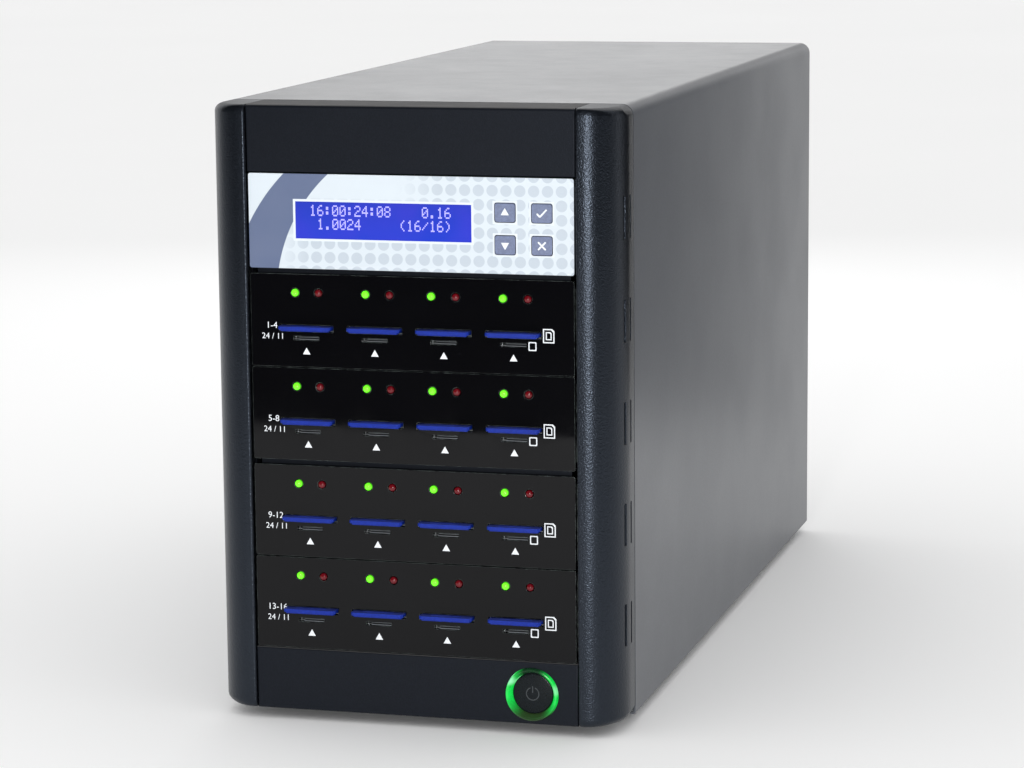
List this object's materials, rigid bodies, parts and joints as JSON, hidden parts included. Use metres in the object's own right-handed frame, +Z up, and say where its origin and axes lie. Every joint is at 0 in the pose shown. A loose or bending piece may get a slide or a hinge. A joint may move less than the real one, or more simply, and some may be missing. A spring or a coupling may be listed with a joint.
{
  "type": "memory card duplicator",
  "caption": "Tall narrow tower that copies SD memory cards, with card slots and lamps in stacked bay plates, an LCD with keys, a lit power button and a fan-cooled rear.",
  "frame": {"origin": "middle of the bounding box, on the surface the feet stand on", "axes": "+X to the right of someone facing the front, +Y from the front to the rear, +Z up"},
  "size_m": [0.187, 0.4588, 0.2755],
  "materials": {
    "cover_paint": "satin dark grey powder coat",
    "chassis_steel": "zinc-plated sheet steel",
    "rear_paint": "satin dark grey paint",
    "bezel_plastic": "fine satin moulded plastic, blue-black",
    "pillar_plastic": "fine-grained charcoal plastic",
    "foot_rubber": "matt black rubber",
    "ring_light": "green light guide, lit from behind",
    "button_plastic": "satin charcoal plastic",
    "black_plastic": "matt black plastic",
    "display_film": "pale printed film with a fine dot pattern",
    "display_glass": "lit blue display with pale characters",
    "circuit_board": "green circuit board with its parts",
    "key_plastic": "grey-violet printed keys",
    "gloss_plate": "polished black acrylic",
    "green_lens": "lit green lens",
    "red_lens": "unlit red lens",
    "card_plastic": "satin blue plastic"
  },
  "bodies": {
    "tower": {"outer_cover": "cover_paint", "chassis": "chassis_steel", "psu_case": "chassis_steel", "rear_panel": "rear_paint", "bezel_frame": "bezel_plastic", "display_faceplate": "bezel_plastic", "left_pillar": "pillar_plastic", "right_pillar": "pillar_plastic", "foot_1": "foot_rubber", "foot_2": "foot_rubber", "foot_3": "foot_rubber", "foot_4": "foot_rubber", "power_ring": "ring_light", "power_switch": "black_plastic", "display_overlay": "display_film", "display_window": "display_glass", "display_module": "circuit_board", "controller_board": "circuit_board", "reader_front_1": "gloss_plate", "reader_board_1": "circuit_board", "green_leds_1": "green_lens", "red_leds_1": "red_lens", "reader_front_2": "gloss_plate", "reader_board_2": "circuit_board", "green_leds_2": "green_lens", "red_leds_2": "red_lens", "reader_front_3": "gloss_plate", "reader_board_3": "circuit_board", "green_leds_3": "green_lens", "red_leds_3": "red_lens", "reader_front_4": "gloss_plate", "reader_board_4": "circuit_board", "green_leds_4": "green_lens", "red_leds_4": "red_lens", "psu_inlet": "black_plastic", "case_fan_frame": "black_plastic"},
    "sd_card_1": {"sd_card_1": "card_plastic"},
    "sd_card_2": {"sd_card_2": "card_plastic"},
    "sd_card_3": {"sd_card_3": "card_plastic"},
    "sd_card_4": {"sd_card_4": "card_plastic"},
    "sd_card_5": {"sd_card_5": "card_plastic"},
    "sd_card_6": {"sd_card_6": "card_plastic"},
    "sd_card_7": {"sd_card_7": "card_plastic"},
    "sd_card_8": {"sd_card_8": "card_plastic"},
    "sd_card_9": {"sd_card_9": "card_plastic"},
    "sd_card_10": {"sd_card_10": "card_plastic"},
    "sd_card_11": {"sd_card_11": "card_plastic"},
    "sd_card_12": {"sd_card_12": "card_plastic"},
    "sd_card_13": {"sd_card_13": "card_plastic"},
    "sd_card_14": {"sd_card_14": "card_plastic"},
    "sd_card_15": {"sd_card_15": "card_plastic"},
    "sd_card_16": {"sd_card_16": "card_plastic"},
    "key_up": {"key_up": "key_plastic"},
    "key_down": {"key_down": "key_plastic"},
    "key_enter": {"key_enter": "key_plastic"},
    "key_escape": {"key_escape": "key_plastic"},
    "power_button": {"power_button": "button_plastic"},
    "psu_rocker": {"psu_rocker": "black_plastic"},
    "psu_fan_rotor": {"psu_fan_rotor": "black_plastic"},
    "case_fan_rotor": {"case_fan_rotor": "black_plastic"}
  },
  "joints": [
    {"name": "sd_card_1_slide", "type": "slide", "parent": "tower", "child": "sd_card_1", "axis": [0, -1, 0], "range_m": [0, 0.03]},
    {"name": "sd_card_2_slide", "type": "slide", "parent": "tower", "child": "sd_card_2", "axis": [0, -1, 0], "range_m": [0, 0.03]},
    {"name": "sd_card_3_slide", "type": "slide", "parent": "tower", "child": "sd_card_3", "axis": [0, -1, 0], "range_m": [0, 0.03]},
    {"name": "sd_card_4_slide", "type": "slide", "parent": "tower", "child": "sd_card_4", "axis": [0, -1, 0], "range_m": [0, 0.03]},
    {"name": "sd_card_5_slide", "type": "slide", "parent": "tower", "child": "sd_card_5", "axis": [0, -1, 0], "range_m": [0, 0.03]},
    {"name": "sd_card_6_slide", "type": "slide", "parent": "tower", "child": "sd_card_6", "axis": [0, -1, 0], "range_m": [0, 0.03]},
    {"name": "sd_card_7_slide", "type": "slide", "parent": "tower", "child": "sd_card_7", "axis": [0, -1, 0], "range_m": [0, 0.03]},
    {"name": "sd_card_8_slide", "type": "slide", "parent": "tower", "child": "sd_card_8", "axis": [0, -1, 0], "range_m": [0, 0.03]},
    {"name": "sd_card_9_slide", "type": "slide", "parent": "tower", "child": "sd_card_9", "axis": [0, -1, 0], "range_m": [0, 0.03]},
    {"name": "sd_card_10_slide", "type": "slide", "parent": "tower", "child": "sd_card_10", "axis": [0, -1, 0], "range_m": [0, 0.03]},
    {"name": "sd_card_11_slide", "type": "slide", "parent": "tower", "child": "sd_card_11", "axis": [0, -1, 0], "range_m": [0, 0.03]},
    {"name": "sd_card_12_slide", "type": "slide", "parent": "tower", "child": "sd_card_12", "axis": [0, -1, 0], "range_m": [0, 0.03]},
    {"name": "sd_card_13_slide", "type": "slide", "parent": "tower", "child": "sd_card_13", "axis": [0, -1, 0], "range_m": [0, 0.03]},
    {"name": "sd_card_14_slide", "type": "slide", "parent": "tower", "child": "sd_card_14", "axis": [0, -1, 0], "range_m": [0, 0.03]},
    {"name": "sd_card_15_slide", "type": "slide", "parent": "tower", "child": "sd_card_15", "axis": [0, -1, 0], "range_m": [0, 0.03]},
    {"name": "sd_card_16_slide", "type": "slide", "parent": "tower", "child": "sd_card_16", "axis": [0, -1, 0], "range_m": [0, 0.03]},
    {"name": "key_up_press", "type": "slide", "parent": "tower", "child": "key_up", "axis": [0, 1, 0], "range_m": [0, 0.0005], "stiffness_N_per_m": 200},
    {"name": "key_down_press", "type": "slide", "parent": "tower", "child": "key_down", "axis": [0, 1, 0], "range_m": [0, 0.0005], "stiffness_N_per_m": 200},
    {"name": "key_enter_press", "type": "slide", "parent": "tower", "child": "key_enter", "axis": [0, 1, 0], "range_m": [0, 0.0005], "stiffness_N_per_m": 200},
    {"name": "key_escape_press", "type": "slide", "parent": "tower", "child": "key_escape", "axis": [0, 1, 0], "range_m": [0, 0.0005], "stiffness_N_per_m": 200},
    {"name": "power_button_press", "type": "slide", "parent": "tower", "child": "power_button", "axis": [0, 1, 0], "range_m": [0, 0.002], "stiffness_N_per_m": 500},
    {"name": "psu_rocker_tip", "type": "hinge", "parent": "tower", "child": "psu_rocker", "pos_m": [-0.0425, 0.2268, 0.0326], "axis": [0, 0, -1], "range_deg": [0, 16]},
    {"name": "psu_fan_spin", "type": "hinge", "parent": "tower", "child": "psu_fan_rotor", "pos_m": [0.03, 0.2268, 0.0506], "axis": [0, 1, 0], "continuous": true},
    {"name": "case_fan_spin", "type": "hinge", "parent": "tower", "child": "case_fan_rotor", "pos_m": [0, 0.2268, 0.1786], "axis": [0, 1, 0], "continuous": true}
  ]
}
